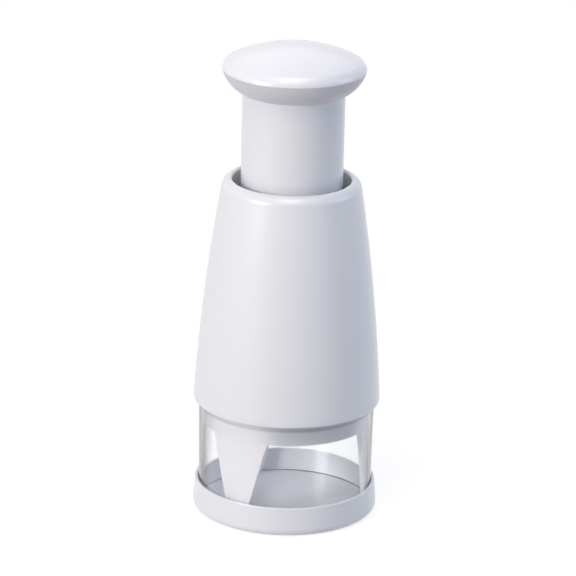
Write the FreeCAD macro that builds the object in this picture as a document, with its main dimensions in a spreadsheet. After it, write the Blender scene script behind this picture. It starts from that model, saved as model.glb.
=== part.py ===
"""Plunger food chopper, millimetres, +Z up, origin at the centre of the tray's underside.

The chopper stands in its tray.  A clear cup holds the food, and a tall housing sits on the
cup.  Pressing the knob drives a zigzag blade down through a slotted stripper disc, while
three helical grooves turn the blade one ratchet step for each stroke.
"""
import FreeCAD
import Part
import Sketcher

import math
import os
import re

V = FreeCAD.Vector

# Driving dimensions, each with its own name
SIZES = [
    # Base tray
    ("tray_floor", 3.0),
    ("tray_height", 14.4),
    ("tray_wall", 1.5),
    ("tray_flare", 1.2),
    ("tray_gap", 0.4),
    ("tray_foot_round", 3.2),
    ("tray_rim_round", 0.6),
    ("tray_fillet", 0.6),
    # Clear cup
    ("cup_wall", 2.0),
    ("cup_foot_wall", 1.2),
    ("cup_neck_wall", 1.3),
    ("cup_draft", 0.8),
    ("cup_shoulder_height", 54.0),
    ("cup_height", 71.0),
    ("cup_lip_round", 0.5),
    ("cup_foot_round", 0.6),
    # Housing shell
    ("housing_wall", 2.0),
    ("housing_gap", 0.4),
    ("housing_overlap", 1.5),
    ("housing_skirt", 3.0),
    ("housing_edge_round", 0.9),
    ("side_radius", 1000.0),
    ("mouth_edge_radius", 33.7),
    ("mouth_radius", 28.4),
    ("mouth_depth", 7.7),
    ("mouth_lip_height", 5.0),
    ("mouth_lip_radius", 5.2),
    ("mouth_lip_land", 1.3),
    ("mouth_inner_round", 1.1),
    ("rib_count", 6),
    ("rib_thickness", 1.6),
    ("rib_inset", 4.4),
    ("rib_top_inset", 3.0),
    ("rib_height", 34.0),
    # Plunger tube and its guide
    ("stroke", 42.0),
    ("tube_radius", 24.4),
    ("tube_wall", 2.2),
    ("tube_flange", 2.0),
    ("tube_flange_height", 2.0),
    ("guide_gap", 0.3),
    ("guide_height", 6.7),
    ("guide_fit", 0.3),
    ("knob_clearance", 1.0),
    # Knob
    ("knob_radius", 34.3),
    ("knob_height", 22.3),
    ("crown_radius", 73.0),
    ("knob_edge_radius", 5.5),
    ("knob_seam_lift", 0.6),
    ("knob_wall", 2.2),
    ("knob_neck", 0.8),
    ("knob_under_radius", 17.0),
    ("knob_spigot", 6.0),
    ("knob_disc", 3.2),
    ("knob_snap_height", 2.0),
    ("spigot_wall", 1.6),
    ("knob_snap_wall", 1.6),
    ("fit_gap", 0.1),
    # Push rod and screws
    ("rod_radius", 3.0),
    ("rod_gap", 0.3),
    ("screw_radius", 1.5),
    ("screw_gap", 0.1),
    ("screw_depth", 14.0),
    ("drill_room", 1.0),
    ("drill_tip", 1.0),
    ("screw_head_radius", 3.2),
    ("screw_head_height", 2.2),
    ("screw_socket_radius", 1.5),
    ("screw_socket_depth", 1.2),
    ("washer_radius", 6.0),
    ("washer_thickness", 1.0),
    # Return spring and its seats
    ("spring_wire", 1.6),
    ("spring_turns", 9),
    ("seat_thickness", 1.2),
    ("seat_gap", 0.3),
    ("seat_clearance", 0.4),
    ("seat_lip_height", 2.4),
    ("seat_lip_wall", 1.0),
    ("bumper_thickness", 1.4),
    ("bumper_width", 3.6),
    ("bumper_clearance", 0.3),
    # Bulkhead, guide column and cam
    ("bulkhead_thickness", 3.0),
    ("bulkhead_fit", 0.2),
    ("bulkhead_clearance", 0.8),
    ("column_height", 40.0),
    ("column_wall", 2.0),
    ("hub_wall", 1.8),
    ("hub_height", 4.2),
    ("boss_radius", 3.4),
    ("boss_height", 16.0),
    ("boss_end", 2.0),
    ("boss_count", 3),
    ("cam_radius", 9.0),
    ("cam_gap", 0.4),
    ("cam_length", 51.0),
    ("cam_foot_gap", 0.3),
    ("groove_width", 3.0),
    ("groove_depth", 1.5),
    ("groove_count", 3),
    ("groove_turn", 30.0),
    ("lug_width", 2.4),
    ("bush_wall", 2.2),
    ("bush_height", 4.8),
    ("bush_flange", 2.4),
    ("bush_flange_height", 1.2),
    # Ratchet between the cam tube and the blade
    ("ratchet_height", 3.5),
    ("ratchet_wall", 2.0),
    ("ratchet_depth", 1.6),
    ("ratchet_teeth", 12),
    ("ratchet_ramp", 0.78),
    ("pawl_ring_wall", 1.6),
    ("pawl_gap", 0.3),
    ("pawl_width", 0.9),
    ("pawl_slit", 0.5),
    ("pawl_tip_angle", 2.0),
    ("pawl_ramp_angle", 14.0),
    ("pawl_sweep", 62.0),
    ("pawl_root_angle", 10.0),
    ("pawl_count", 3),
    # Zigzag blade and its holder
    ("blade_radius", 35.0),
    ("blade_thickness", 0.8),
    ("blade_outer_angle", 32.0),
    ("blade_inner_angle", 54.0),
    ("blade_bevel", 2.2),
    ("blade_edge_thickness", 0.15),
    ("fold_radius", 1.5),
    ("edge_gap", 0.8),
    ("holder_edge", 0.2),
    ("holder_thickness", 3.0),
    ("clamp_depth", 3.5),
    ("clamp_wall", 1.8),
    ("clamp_gap", 0.1),
    ("clamp_clearance", 0.8),
    # Stripper disc and its frame
    ("disc_thickness", 2.4),
    ("disc_edge", 2.2),
    ("disc_gap", 0.3),
    ("disc_lift", 0.2),
    ("slot_gap", 0.35),
    ("frame_gap", 0.5),
    ("frame_wall", 1.8),
    ("frame_ledge", 1.9),
    ("frame_ledge_height", 1.8),
    ("frame_recess", 0.8),
    ("frame_flange_height", 2.0),
    ("leg_width", 29.0),
    ("leg_foot_width", 10.0),
    ("leg_foot_gap", 0.4),
    ("leg_round", 2.5),
    ("leg_fillet", 1.5),
    ("leg_azimuth", -35.0),
    ("leg_count", 3),
    # How far a cutter reaches past the face that it opens
    ("cut_over", 1.0),
]

# Places worked out from the sizes, from the tray upwards
PLACES = {
    "disc_radius": "blade_radius + disc_edge",
    "frame_bore": "disc_radius + disc_gap",
    "frame_radius": "frame_bore + frame_wall",
    "cup_bore": "frame_radius + frame_gap",
    "cup_foot_radius": "cup_bore + cup_wall",
    "cup_foot_bore": "cup_foot_radius - cup_foot_wall",
    "cup_shoulder_radius": "cup_foot_radius + cup_draft",
    "cup_neck_radius": "cup_bore + cup_neck_wall",
    "tray_bore": "cup_foot_radius + tray_gap",
    "tray_rim_radius": "tray_bore + tray_wall",
    "tray_foot_radius": "tray_rim_radius + tray_flare",
    "cup_shoulder": "tray_floor + cup_shoulder_height",
    "cup_top": "tray_floor + cup_height",
    "blade_edge": "tray_floor + edge_gap + stroke",
    "collar_bottom": "blade_edge - frame_recess",
    "ledge_top": "collar_bottom + frame_ledge_height",
    "disc_bottom": "ledge_top + disc_lift",
    "disc_top": "disc_bottom + disc_thickness",
    "clamp_bottom": "disc_top + stroke + clamp_clearance",
    "holder_bottom": "clamp_bottom + clamp_depth",
    "holder_top": "holder_bottom + holder_thickness",
    "holder_radius": "blade_radius + holder_edge",
    "ratchet_top": "holder_top + ratchet_height",
    "bulkhead_bottom": "ratchet_top + bulkhead_clearance",
    "bulkhead_top": "bulkhead_bottom + bulkhead_thickness",
    "hub_top": "bulkhead_top + hub_height",
    "bumper_top": "bulkhead_top + bumper_thickness",
    "tube_bottom": "bumper_top + stroke + bumper_clearance",
    "tube_flange_top": "tube_bottom + tube_flange_height",
    "guide_bottom": "tube_flange_top + guide_gap",
    "mouth_seat": "guide_bottom + guide_height",
    "housing_top": "mouth_seat + mouth_depth",
    "housing_bottom": "cup_shoulder - housing_overlap",
    "belly_radius": "cup_shoulder_radius + housing_gap + housing_wall",
    "belly_height": "housing_bottom + housing_skirt",
    "mouth_edge": "housing_top - mouth_lip_height",
    "tube_top": "housing_top + stroke + knob_clearance",
    "tube_bore": "tube_radius - tube_wall",
    "knob_top": "tube_top + knob_height",
    "spigot_radius": "tube_bore - fit_gap",
    "spigot_bottom": "tube_top - knob_spigot",
    "knob_disc_top": "tube_top - fit_gap",
    "knob_disc_bottom": "knob_disc_top - knob_disc",
    "upper_seat_bottom": "knob_disc_bottom - seat_thickness",
    "rod_bottom": "holder_bottom + fit_gap",
    "rod_bore": "rod_radius + rod_gap",
    "washer_bottom": "holder_bottom - washer_thickness",
    "cam_bore": "cam_radius + cam_gap",
    "cam_bottom": "holder_top + cam_foot_gap",
    "cam_top": "cam_bottom + cam_length",
    "column_radius": "cam_bore + column_wall",
    "bush_radius": "cam_bore + bush_wall",
    "bush_flange_radius": "bush_radius + bush_flange",
    "bush_bore": "cam_bore",
    "hub_radius": "bush_radius + fit_gap + hub_wall",
    "lower_seat_top": "bulkhead_top + seat_thickness",
    "seat_radius": "spigot_radius - spigot_wall - seat_gap",
    "spring_radius": "seat_radius - seat_lip_wall - seat_clearance - spring_wire / 2",
    "flange_radius": "cup_neck_radius",
    "frame_top": "cup_top + frame_flange_height",
    "rib_bore": "side_inner_at_seat - rib_inset",
    "bulkhead_radius": "bulkhead_edge - bulkhead_fit",
    "pawl_ring_radius": "cam_radius + fit_gap + pawl_ring_wall",
    "pawl_inside": "pawl_ring_radius + pawl_slit",
    "pawl_outside": "pawl_inside + pawl_width",
    "ratchet_tip": "pawl_outside + pawl_gap",
    "ratchet_bore": "ratchet_tip + ratchet_depth",
    "ratchet_radius": "ratchet_bore + ratchet_wall",
    # The side of the housing is one arc: its chord and centre
    "chord_run": "mouth_edge_radius - belly_radius",
    "chord_rise": "mouth_edge - belly_height",
    "chord": "sqrt(chord_run ^ 2 + chord_rise ^ 2)",
    "chord_drop": "sqrt(side_radius ^ 2 - chord ^ 2 / 4)",
    "side_x": "(mouth_edge_radius + belly_radius) / 2 - chord_drop * chord_rise / chord",
    "side_z": "(mouth_edge + belly_height) / 2 + chord_drop * chord_run / chord",
    "side_inner_at_seat": "side_x + sqrt((side_radius - housing_wall) ^ 2"
                          " - (bulkhead_top - side_z) ^ 2)",
    "bulkhead_edge": "side_inner_at_seat - rib_inset / 2",
    "boss_circle": "rib_bore - boss_radius / 2",
    # The knob's edge arc is tangent to its crown and to a circle of the knob's radius
    "crown_z": "knob_top - crown_radius",
    "edge_x": "knob_radius - knob_edge_radius",
    "edge_z": "crown_z + sqrt((crown_radius - knob_edge_radius) ^ 2 - edge_x ^ 2)",
    "crown_x": "edge_x * crown_radius / (crown_radius - knob_edge_radius)",
    "crown_end": "crown_z + (edge_z - crown_z) * crown_radius / (crown_radius - knob_edge_radius)",
    "knob_seam": "edge_z + knob_seam_lift",
    "seam_x": "edge_x + sqrt(knob_edge_radius ^ 2 - knob_seam_lift ^ 2)",
    "cap_bore": "edge_x + sqrt((knob_edge_radius - knob_wall) ^ 2"
                " - (knob_seam_lift + knob_snap_height) ^ 2)",
    "snap_radius": "cap_bore - fit_gap",
}

doc = FreeCAD.newDocument("FoodChopper")
sheet = doc.addObject("Spreadsheet::Sheet", "Sizes")
for row, (word, number) in enumerate(SIZES, start=1):
    sheet.set("A%d" % row, word)
    sheet.set("B%d" % row, str(number))
    sheet.setAlias("B%d" % row, word)
doc.recompute()

ALIASES = {word for word, number in SIZES}
PARTS = []


def formula(text):
    """Spell out the names of a short formula as cells of the sheet."""
    def spelled(match):
        word = match.group()
        if word in PLACES:
            return "(%s)" % formula(PLACES[word])
        return "Sizes." + word if word in ALIASES else word
    return re.sub(r"[a-z_]+", spelled, text)


def value(text):
    """Number that a short formula stands for."""
    result = sheet.evalExpression(formula(text))
    return float(getattr(result, "Value", result))


def part(item, label):
    """Name a finished object as a sub-part of the chopper."""
    item.Label = label
    PARTS.append(item)
    return item


def bound(item, **formulas):
    """Bind properties of an object to short formulas."""
    for name, text in formulas.items():
        item.setExpression(name, formula(text))
    return item


def plane(body, role):
    """Origin plane of a body, such as XZ_Plane."""
    return next(item for item in body.Origin.OriginFeatures if item.Role == role)


def arc_centre(start, end, radius):
    """Centre of the shorter arc that runs anticlockwise from start to end."""
    half = (end - start) / 2
    drop = math.sqrt(radius ** 2 - half.Length ** 2)
    return start + half + V(-half.y, half.x, 0).normalize() * drop


def draw(sketch, corners, closed=True):
    """Draw an outline through corners whose places are short formulas.

    A corner is (x, y), or (x, y, radius) where an arc of that radius leads to the next
    corner, bulging outwards, or (x, y, radius, "in") where the arc bulges inwards.
    """
    ends = [V(value(corner[0]), value(corner[1]), 0) for corner in corners]
    count = len(corners) if closed else len(corners) - 1
    starts_at = []
    for index in range(count):
        start, end = ends[index], ends[(index + 1) % len(corners)]
        corner = corners[index]
        if len(corner) == 2:
            edge = sketch.addGeometry(Part.LineSegment(start, end))
            starts_at.append((edge, 1, 2))
            continue
        radius = value(corner[2])
        inwards = len(corner) == 4
        first, last = (end, start) if inwards else (start, end)
        centre = arc_centre(first, last, radius)
        angles = [math.atan2(point.y - centre.y, point.x - centre.x) for point in (first, last)]
        if angles[1] < angles[0]:
            angles[1] += 2 * math.pi
        circle = Part.Circle(centre, V(0, 0, 1), radius)
        edge = sketch.addGeometry(Part.ArcOfCircle(circle, angles[0], angles[1]))
        starts_at.append((edge, 2, 1) if inwards else (edge, 1, 2))
        rule = sketch.addConstraint(Sketcher.Constraint("Radius", edge, radius))
        sketch.setExpression("Constraints[%d]" % rule, formula(corner[2]))
    for index in range(count if closed else count - 1):
        edge, _, tail = starts_at[index]
        following, head, _ = starts_at[(index + 1) % count]
        sketch.addConstraint(Sketcher.Constraint("Coincident", edge, tail, following, head))
    for index, corner in enumerate(corners):
        edge, end = starts_at[index][:2] if index < count else (starts_at[-1][0], starts_at[-1][2])
        for axis, text, number in zip("XY", corner, (ends[index].x, ends[index].y)):
            rule = sketch.addConstraint(
                Sketcher.Constraint("Distance" + axis, -1, 1, edge, end, number))
            sketch.setExpression("Constraints[%d]" % rule, formula(text))


def new_body(name):
    """Empty body; its first sketch and features follow."""
    return doc.addObject("PartDesign::Body", name)


def body_sketch(body, name, role, corners=(), offset=None):
    """Sketch on an origin plane of a body, lifted along its normal by a short formula."""
    sketch = body.newObject("Sketcher::SketchObject", name)
    sketch.AttachmentSupport = (plane(body, role), [""])
    sketch.MapMode = "FlatFace"
    if offset:
        sketch.setExpression("AttachmentOffset.Base.z", formula(offset))
    if corners:
        draw(sketch, corners)
    return sketch


def circle_at(sketch, distance, radius):
    """Circle on the horizontal axis of a sketch, placed and sized by short formulas."""
    centre = V(value(distance), 0, 0)
    edge = sketch.addGeometry(Part.Circle(centre, V(0, 0, 1), value(radius)))
    sketch.addConstraint(Sketcher.Constraint("PointOnObject", edge, 3, -1))
    place = sketch.addConstraint(
        Sketcher.Constraint("DistanceX", -1, 1, edge, 3, value(distance)))
    sketch.setExpression("Constraints[%d]" % place, formula(distance))
    size = sketch.addConstraint(Sketcher.Constraint("Radius", edge, value(radius)))
    sketch.setExpression("Constraints[%d]" % size, formula(radius))


def turned(name, corners):
    """Body turned about the Z axis from one closed outline of radii and heights."""
    body = new_body(name)
    sketch = body_sketch(body, name + "_outline", "XZ_Plane", corners)
    turn = body.newObject("PartDesign::Revolution", name + "_turn")
    turn.Profile = sketch
    turn.ReferenceAxis = (sketch, ["V_Axis"])
    turn.Angle = 360
    sketch.Visibility = False
    doc.recompute()
    return body


def ring_edges(feature, rings):
    """Names of the circular edges about Z that have the given radii and heights."""
    names = []
    for radius, height in ((value(pair[0]), value(pair[1])) for pair in rings):
        for number, edge in enumerate(feature.Shape.Edges, start=1):
            curve = edge.Curve
            if not isinstance(curve, Part.Circle):
                continue
            if abs(curve.Radius - radius) < 0.01 and abs(curve.Center.z - height) < 0.01:
                names.append("Edge%d" % number)
    return names


def rounded(body, radius, *rings):
    """Round the circular edges of a turned body."""
    base = body.Tip
    fillet = body.newObject("PartDesign::Fillet", body.Name + "_round")
    fillet.Base = (base, ring_edges(base, rings))
    bound(fillet, Radius=radius)
    doc.recompute()
    return fillet


def around(body, feature, count):
    """Repeat a feature of a body about the Z axis."""
    pattern = body.newObject("PartDesign::PolarPattern", feature.Name + "_pattern")
    pattern.Originals = [feature]
    pattern.Axis = (next(i for i in body.Origin.OriginFeatures if i.Role == "Z_Axis"), [""])
    pattern.Angle = 360
    bound(pattern, Occurrences=count)
    body.Tip = pattern
    doc.recompute()
    return pattern


def screw_holes(body, name, bottom, depth):
    """Holes for the bulkhead screws, drilled upwards from a height."""
    outline = body_sketch(body, name + "_outline", "XY_Plane", offset=bottom)
    circle_at(outline, "boss_circle", "screw_radius + screw_gap")
    before = body.Tip.Shape.Volume
    hole = body.newObject("PartDesign::Pocket", name)
    hole.Profile = outline
    hole.Reversed = True
    bound(hole, Length=depth)
    outline.Visibility = False
    doc.recompute()
    if hole.Shape.Volume >= before:
        raise RuntimeError("%s cuts nothing" % name)
    around(body, hole, "boss_count")


def side(height, inset="0"):
    """Formula for the radius of the housing's curved side at a height, inset by a wall."""
    return "side_x + sqrt((side_radius - %s) ^ 2 - (%s - side_z) ^ 2)" % (inset, height)


def base_tray():
    """White tray: flared wall, flat floor, rounded rim and foot."""
    body = turned("tray", [
        ("0", "0"),
        ("tray_foot_radius", "0"),
        ("tray_rim_radius", "tray_height"),
        ("tray_bore", "tray_height"),
        ("tray_bore", "tray_floor"),
        ("0", "tray_floor")])
    rounded(body, "tray_foot_round", ("tray_foot_radius", "0"))
    rounded(body, "tray_rim_round", ("tray_rim_radius", "tray_height"),
            ("tray_bore", "tray_height"))
    rounded(body, "tray_fillet", ("tray_bore", "tray_floor"))
    return part(body, "base_tray")


def clear_cup():
    """Clear cup: drafted inside and out, with a neck that the housing fits over."""
    body = turned("cup", [
        ("cup_foot_bore", "tray_floor"),
        ("cup_foot_radius", "tray_floor"),
        ("cup_shoulder_radius", "cup_shoulder"),
        ("cup_neck_radius", "cup_shoulder"),
        ("cup_neck_radius", "cup_top"),
        ("cup_bore", "cup_top"),
        ("cup_bore", "collar_bottom")])
    rounded(body, "cup_lip_round", ("cup_shoulder_radius", "cup_shoulder"))
    rounded(body, "cup_foot_round", ("cup_foot_radius", "tray_floor"))
    return part(body, "clear_cup")


def housing_shell():
    """Tapered housing: side drawn as one shallow arc, rolled lip, inner ribs and bosses."""
    body = turned("housing", [
        ("belly_radius - housing_wall", "housing_bottom"),
        ("belly_radius", "housing_bottom"),
        ("belly_radius", "belly_height", "side_radius"),
        ("mouth_edge_radius", "mouth_edge", "mouth_lip_radius"),
        ("mouth_radius + mouth_lip_land", "housing_top"),
        ("mouth_radius", "housing_top"),
        ("mouth_radius", "mouth_seat"),
        (side("mouth_seat", "housing_wall"), "mouth_seat",
         "side_radius - housing_wall", "in"),
        (side("belly_height", "housing_wall"), "belly_height")])
    rounded(body, "housing_edge_round", ("belly_radius", "housing_bottom"))
    rounded(body, "mouth_inner_round", ("mouth_radius", "housing_top"))
    seat = "bulkhead_top"
    top = "bulkhead_top + rib_height"
    middle = "housing_wall / 2"
    sketch = body_sketch(body, "rib_outline", "XZ_Plane", [
        ("rib_bore + rib_inset / 2", "frame_top"),
        (side("frame_top", middle), "frame_top", "side_radius - " + middle),
        (side(top, middle), top),
        (side(top, "housing_wall") + " - rib_top_inset", top),
        ("rib_bore", seat),
        ("rib_bore + rib_inset / 2", seat)])
    rib = body.newObject("PartDesign::Pad", "rib")
    rib.Profile = sketch
    rib.Midplane = True
    bound(rib, Length="rib_thickness")
    sketch.Visibility = False
    doc.recompute()
    around(body, rib, "rib_count")
    ring = body_sketch(body, "boss_outline", "XY_Plane", offset=seat)
    circle_at(ring, "boss_circle", "boss_radius")
    boss = body.newObject("PartDesign::Pad", "boss")
    boss.Profile = ring
    bound(boss, Length="boss_height")
    ring.Visibility = False
    doc.recompute()
    around(body, boss, "boss_count")
    screw_holes(body, "pilot", seat, "boss_height - boss_end")
    return part(body, "housing_shell")


def guide_ring():
    """Ring under the mouth that the plunger tube slides in."""
    body = turned("guide", [
        ("tube_radius + guide_gap", "guide_bottom"),
        (side("mouth_seat", "housing_wall") + " - guide_fit", "guide_bottom"),
        (side("mouth_seat", "housing_wall") + " - guide_fit", "mouth_seat"),
        ("tube_radius + guide_gap", "mouth_seat")])
    return part(body, "plunger_guide_ring")


def guide_column():
    """Bulkhead across the housing with a hub, a pocket for the bush and a tall column."""
    column_top = "bulkhead_top + column_height"
    body = turned("column", [
        ("bush_flange_radius + fit_gap", "bulkhead_bottom"),
        ("bulkhead_radius", "bulkhead_bottom"),
        ("bulkhead_radius", "bulkhead_top"),
        ("hub_radius", "bulkhead_top"),
        ("hub_radius", "hub_top"),
        ("column_radius", "hub_top"),
        ("column_radius", column_top),
        ("cam_bore", column_top),
        ("cam_bore", "bulkhead_bottom + bush_height"),
        ("bush_radius + fit_gap", "bulkhead_bottom + bush_height"),
        ("bush_radius + fit_gap", "bulkhead_bottom + bush_flange_height"),
        ("bush_flange_radius + fit_gap", "bulkhead_bottom + bush_flange_height")])
    screw_holes(body, "screw_hole", "bulkhead_bottom", "bulkhead_thickness")
    return part(body, "guide_column")


def solid_cylinder(name, radius, height, at=("0", "0", "0")):
    """Part cylinder with its radius, height and foot set by short formulas."""
    item = doc.addObject("Part::Cylinder", name)
    bound(item, Radius=radius, Height=height)
    for axis, text in zip("xyz", at):
        item.setExpression("Placement.Base." + axis, formula(text))
    return item


def solid_box(name, length, width, height, at):
    """Part box with its sides and corner set by short formulas."""
    item = doc.addObject("Part::Box", name)
    bound(item, Length=length, Width=width, Height=height)
    for axis, text in zip("xyz", at):
        item.setExpression("Placement.Base." + axis, formula(text))
    return item


def fused(name, items):
    """Union of several solids."""
    item = doc.addObject("Part::MultiFuse", name)
    item.Shapes = items
    return item


def cut(name, base, tool):
    """One solid less another."""
    item = doc.addObject("Part::Cut", name)
    item.Base = base
    item.Tool = tool
    return item


def turned_copies(name, item, count, first=0.0):
    """Copies of an object's shape, turned evenly about Z, as one compound."""
    step = 360.0 / count
    links = []
    for index in range(count):
        copy = doc.addObject("Part::Compound", "%s_%d" % (name, index))
        copy.Links = [item]
        copy.Placement = FreeCAD.Placement(V(0, 0, 0), FreeCAD.Rotation(V(0, 0, 1),
                                                                         first + step * index))
        links.append(copy)
    group = doc.addObject("Part::Compound", name)
    group.Links = links
    return group


def helical_groove(name, width, depth, bottom, top):
    """Cutter that winds along the cam tube, turning groove_turn over one stroke."""
    spine = doc.addObject("Part::Helix", name + "_spine")
    spine.LocalCoord = 0
    bound(spine, Pitch="stroke * 360 / groove_turn", Height="%s - (%s)" % (top, bottom),
          Radius="cam_radius")
    spine.setExpression("Placement.Base.z", formula(bottom))
    profile = doc.addObject("Sketcher::SketchObject", name + "_profile")
    draw(profile, [
        ("cam_radius - (%s)" % depth, "-(%s) / 2" % width),
        ("cam_radius + %s" % depth, "-(%s) / 2" % width),
        ("cam_radius + %s" % depth, "(%s) / 2" % width),
        ("cam_radius - (%s)" % depth, "(%s) / 2" % width)])
    profile.setExpression("Placement.Base.z", formula(bottom))
    sweep = doc.addObject("Part::Sweep", name)
    sweep.Sections = [profile]
    sweep.Spine = (spine, ["Edge1"])
    sweep.Solid = True
    sweep.Frenet = True
    return sweep


def cam_tube():
    """Tube with helical grooves that turns as it slides through the bush."""
    body = turned("cam_blank", [
        ("rod_bore", "cam_bottom"),
        ("cam_radius", "cam_bottom"),
        ("cam_radius", "cam_top"),
        ("rod_bore", "cam_top")])
    # The grooves start above the pawl ring and run out at the top
    bottom = "bulkhead_bottom - bulkhead_clearance / 2"
    groove = helical_groove("groove", "groove_width", "groove_depth", bottom, "cam_top + cut_over")
    count = int(value("groove_count"))
    grooves = turned_copies("grooves", groove, count)
    return part(cut("cam", body, grooves), "cam_tube")


def cam_bush():
    """Flanged bush in the bulkhead with lugs that ride in the cam's grooves."""
    body = turned("bush_ring", [
        ("bush_bore", "bulkhead_bottom"),
        ("bush_flange_radius", "bulkhead_bottom"),
        ("bush_flange_radius", "bulkhead_bottom + bush_flange_height"),
        ("bush_radius", "bulkhead_bottom + bush_flange_height"),
        ("bush_radius", "bulkhead_bottom + bush_height"),
        ("bush_bore", "bulkhead_bottom + bush_height")])
    inner = "cam_radius - groove_depth + cam_gap"
    # A lug stands where the groove passes the middle of the bush
    lug = solid_box("lug", "bush_bore + bush_wall / 2 - (%s)" % inner, "lug_width", "bush_height / 2",
                    (inner, "-lug_width / 2", "bulkhead_bottom + bush_height / 4"))
    count = int(value("groove_count"))
    rise = value("bush_height / 2 + bulkhead_clearance / 2")
    turn = rise * value("groove_turn / stroke")
    lugs = turned_copies("lugs", lug, count, turn)
    return part(fused("bush", [body, lugs]), "cam_bush")


def screw(name, radius, foot, length, downwards=False):
    """Pan-head screw at a radius: shank from foot upwards, head at the foot or on top."""
    shank = solid_cylinder(name + "_shank", "screw_radius", length, (radius, "0", foot))
    head_at = "%s + %s" % (foot, length) if downwards else "%s - screw_head_height" % foot
    head = solid_cylinder(name + "_head", "screw_head_radius", "screw_head_height",
                          (radius, "0", head_at))
    recess_at = head_at
    if downwards:
        recess_at = "%s + screw_head_height - screw_socket_depth" % head_at
    recess = solid_cylinder(name + "_recess", "screw_socket_radius", "screw_socket_depth",
                            (radius, "0", recess_at))
    return cut(name, fused(name + "_blank", [shank, head]), recess)


def screws():
    """Bulkhead screws, and the screws at the two ends of the push rod."""
    one = screw("bulkhead_screw", "boss_circle", "bulkhead_bottom", "screw_depth")
    part(turned_copies("bulkhead_screw_set", one, int(value("boss_count"))),
         "bulkhead_screws")
    part(screw("end_screw", "0", "washer_bottom", "screw_depth"), "rod_end_screw")
    part(screw("top_screw", "0", "knob_disc_top - screw_depth", "screw_depth",
               downwards=True), "rod_top_screw")


def spring_parts():
    """Return spring, its two seats and the rubber bumper round the hub."""
    for name, label, low, high, lip in (
            ("lower_seat", "lower_spring_seat", "bulkhead_top", "lower_seat_top", 1),
            ("upper_seat", "upper_spring_seat", "upper_seat_bottom", "knob_disc_bottom", -1)):
        bore = "hub_radius + fit_gap" if lip > 0 else "rod_radius + fit_gap"
        edge = "%s + seat_lip_height" % high if lip > 0 else "%s - seat_lip_height" % low
        face, back = (high, low) if lip > 0 else (low, high)
        body = turned(name, [
            (bore, back),
            ("seat_radius", back),
            ("seat_radius", edge),
            ("seat_radius - seat_lip_wall", edge),
            ("seat_radius - seat_lip_wall", face),
            (bore, face)])
        part(body, label)
    bumper = turned("bumper", [
        ("tube_bore", "bulkhead_top"),
        ("tube_bore + bumper_width", "bulkhead_top"),
        ("tube_bore + bumper_width", "bumper_top"),
        ("tube_bore", "bumper_top")])
    part(bumper, "stop_bumper")
    return_spring()


def return_spring():
    """Coil spring drawn as half turns of round wire, each tilted by a quarter of the pitch."""
    low = "lower_seat_top + spring_wire / 2 + fit_gap"
    rise = "(upper_seat_bottom - lower_seat_top - spring_wire - 2 * fit_gap)"
    quarter = "%s / spring_turns / 4" % rise
    halves = []
    for index in range(2 * int(value("spring_turns"))):
        half = doc.addObject("Part::Torus", "spring_half_%d" % index)
        half.Angle3 = 180
        bound(half, Radius1="sqrt(spring_radius ^ 2 + (%s) ^ 2)" % quarter,
              Radius2="spring_wire / 2")
        tilt = math.degrees(math.atan2(value(quarter), value("spring_radius")))
        turn = FreeCAD.Rotation(V(0, 0, 1), 180 * (index % 2))
        half.Placement = FreeCAD.Placement(V(0, 0, 0),
                                           turn * FreeCAD.Rotation(V(0, 1, 0), tilt))
        half.setExpression("Placement.Base.z",
                           formula("%s + %s * %d" % (low, quarter, 2 * index + 1)))
        halves.append(half)
    return part(fused("spring", halves), "return_spring")


def plunger():
    """Plunger tube, push rod, washer and the two halves of the knob."""
    tube = turned("tube", [
        ("tube_bore", "tube_bottom"),
        ("tube_radius + tube_flange", "tube_bottom"),
        ("tube_radius + tube_flange", "tube_flange_top"),
        ("tube_radius", "tube_flange_top"),
        ("tube_radius", "tube_top"),
        ("tube_bore", "tube_top")])
    part(tube, "plunger_tube")
    hole = "screw_radius + screw_gap"
    depth = "screw_depth - washer_thickness + drill_room"
    top_depth = "screw_depth - knob_disc + drill_room"
    rod = turned("rod", [
        (hole, "rod_bottom"),
        ("rod_radius", "rod_bottom"),
        ("rod_radius", "knob_disc_bottom"),
        (hole, "knob_disc_bottom"),
        (hole, "knob_disc_bottom - (%s)" % top_depth),
        ("0", "knob_disc_bottom - (%s) - drill_tip" % top_depth),
        ("0", "rod_bottom + %s + drill_tip" % depth),
        (hole, "rod_bottom + %s" % depth)])
    part(rod, "push_rod")
    washer = turned("washer", [
        (hole, "washer_bottom"),
        ("washer_radius", "washer_bottom"),
        ("washer_radius", "holder_bottom"),
        (hole, "holder_bottom")])
    part(washer, "rod_end_washer")
    base = turned("knob_under", [
        (hole, "knob_disc_bottom"),
        ("spigot_radius - spigot_wall", "knob_disc_bottom"),
        ("spigot_radius - spigot_wall", "spigot_bottom"),
        ("spigot_radius", "spigot_bottom"),
        ("spigot_radius", "tube_top"),
        ("tube_radius + knob_neck", "tube_top", "knob_under_radius"),
        ("seam_x", "knob_seam"),
        ("snap_radius", "knob_seam"),
        ("snap_radius", "knob_seam + knob_snap_height - fit_gap"),
        ("snap_radius - knob_snap_wall", "knob_seam + knob_snap_height - fit_gap"),
        ("snap_radius - knob_snap_wall", "knob_seam - knob_wall / 2"),
        ("tube_radius", "knob_disc_top + knob_wall", "knob_under_radius", "in"),
        ("tube_bore - knob_wall", "knob_disc_top"),
        (hole, "knob_disc_top")])
    part(base, "knob_base")


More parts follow.
